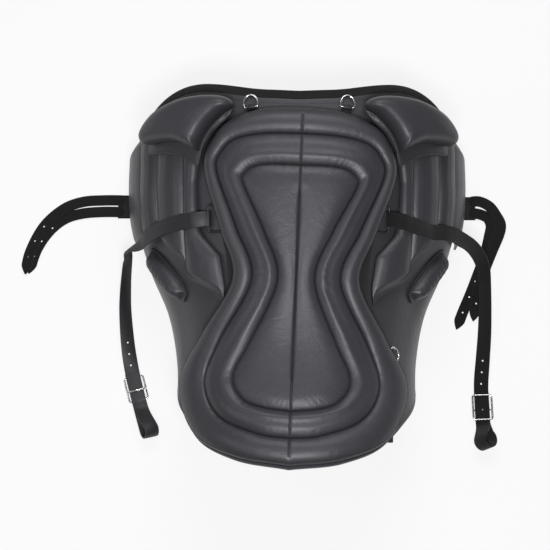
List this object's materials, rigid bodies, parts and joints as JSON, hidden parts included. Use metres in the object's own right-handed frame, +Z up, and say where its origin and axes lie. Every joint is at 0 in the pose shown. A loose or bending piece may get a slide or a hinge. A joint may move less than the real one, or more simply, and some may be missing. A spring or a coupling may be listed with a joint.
{
  "type": "treeless saddle",
  "caption": "Soft treeless riding saddle with padded seat, quilted flaps, knee blocks, stirrup leathers and girth billets.",
  "frame": {"origin": "middle of the footprint's box on the floor that the saddle stands on; the base's plane of symmetry lies at x = 0.0581", "axes": "+Z up, +Y towards the pommel, +X to the rider's right"},
  "size_m": [0.8536, 0.6332, 0.2912],
  "materials": {
    "saddle_leather": "smooth black leather with a soft sheen",
    "strap_leather": "black strap leather, waxed grain outside and bare flesh side",
    "flange_leather": "thin matte black leather",
    "felt": "matte black wool felt",
    "foam": "soft foam",
    "webbing": "woven black webbing",
    "stiffener": "matte",
    "coated_steel": "black coated steel wire",
    "plated_steel": "bright nickel plate"
  },
  "bodies": {
    "base": {"base_leather": "saddle_leather", "base_felt": "felt", "panel_left": "foam", "panel_right": "foam", "pommel_arch": "stiffener", "seat_pad_front": "felt", "seat_pad_rear": "felt", "flap_left": "saddle_leather", "flap_right": "saddle_leather", "thigh_roll_left": "saddle_leather", "thigh_roll_right": "saddle_leather", "stirrup_webbing": "webbing", "stirrup_bar_left": "coated_steel", "stirrup_bar_right": "coated_steel", "girth_webbing_left": "webbing", "girth_webbing_right": "webbing", "billet_right_front": "strap_leather", "billet_right_rear": "strap_leather", "ring_tab_front_left": "strap_leather", "ring_tab_front_right": "strap_leather", "ring_tab_rear_left": "strap_leather", "ring_tab_rear_right": "strap_leather"},
    "seat": {"seat_cover": "saddle_leather", "seat_foam": "foam", "seat_underlay": "felt", "seat_binding": "saddle_leather"},
    "knee_left": {"knee_block_left": "saddle_leather", "knee_flange_left": "flange_leather"},
    "knee_right": {"knee_block_right": "saddle_leather", "knee_flange_right": "flange_leather"},
    "stirrup_left": {"stirrup_leather_left": "strap_leather", "buckle_left": "plated_steel"},
    "stirrup_right": {"stirrup_leather_right": "strap_leather", "buckle_right": "plated_steel"},
    "billets_left": {"billet_left_front": "strap_leather", "billet_left_rear": "strap_leather"},
    "ring_front_left": {"d_ring_front_left": "plated_steel"},
    "ring_front_right": {"d_ring_front_right": "plated_steel"},
    "ring_rear_left": {"d_ring_rear_left": "plated_steel"},
    "ring_rear_right": {"d_ring_rear_right": "plated_steel"}
  },
  "joints": [
    {"name": "seat_lift", "type": "slide", "parent": "base", "child": "seat", "axis": [0, 0, 1], "range_m": [0, 0.12]},
    {"name": "knee_left_pull", "type": "slide", "parent": "base", "child": "knee_left", "axis": [-0.5267, -0.0285, 0.8496], "range_m": [0, 0.06]},
    {"name": "knee_right_pull", "type": "slide", "parent": "base", "child": "knee_right", "axis": [0.5267, -0.0285, 0.8496], "range_m": [0, 0.06]},
    {"name": "stirrup_left_swing", "type": "hinge", "parent": "base", "child": "stirrup_left", "pos_m": [-0.08842, 0.08831, 0.21767], "axis": [-0.0142, 0.9804, 0.1967], "range_deg": [0, 75]},
    {"name": "stirrup_right_swing", "type": "hinge", "parent": "base", "child": "stirrup_right", "pos_m": [0.20459, 0.08831, 0.21767], "axis": [-0.0142, -0.9804, -0.1967], "range_deg": [0, 75]},
    {"name": "billets_left_lift", "type": "hinge", "parent": "base", "child": "billets_left", "pos_m": [-0.24541, 0.15568, 0.0037], "axis": [0, 1, 0], "range_deg": [0, 60]},
    {"name": "ring_front_left_flip", "type": "hinge", "parent": "base", "child": "ring_front_left", "pos_m": [-0.0193, 0.26549, 0.25198], "axis": [0.9745, 0.1105, 0.1955], "range_deg": [0, 100]},
    {"name": "ring_front_right_flip", "type": "hinge", "parent": "base", "child": "ring_front_right", "pos_m": [0.13547, 0.26549, 0.25198], "axis": [0.9745, -0.1105, -0.1955], "range_deg": [0, 100]},
    {"name": "ring_rear_left_flip", "type": "hinge", "parent": "base", "child": "ring_rear_left", "pos_m": [-0.09255, -0.12247, 0.16816], "axis": [-0.2652, 0.9433, -0.1999], "range_deg": [0, 15]},
    {"name": "ring_rear_right_flip", "type": "hinge", "parent": "base", "child": "ring_rear_right", "pos_m": [0.20872, -0.12247, 0.16816], "axis": [-0.2652, -0.9433, 0.1999], "range_deg": [0, 15]}
  ]
}
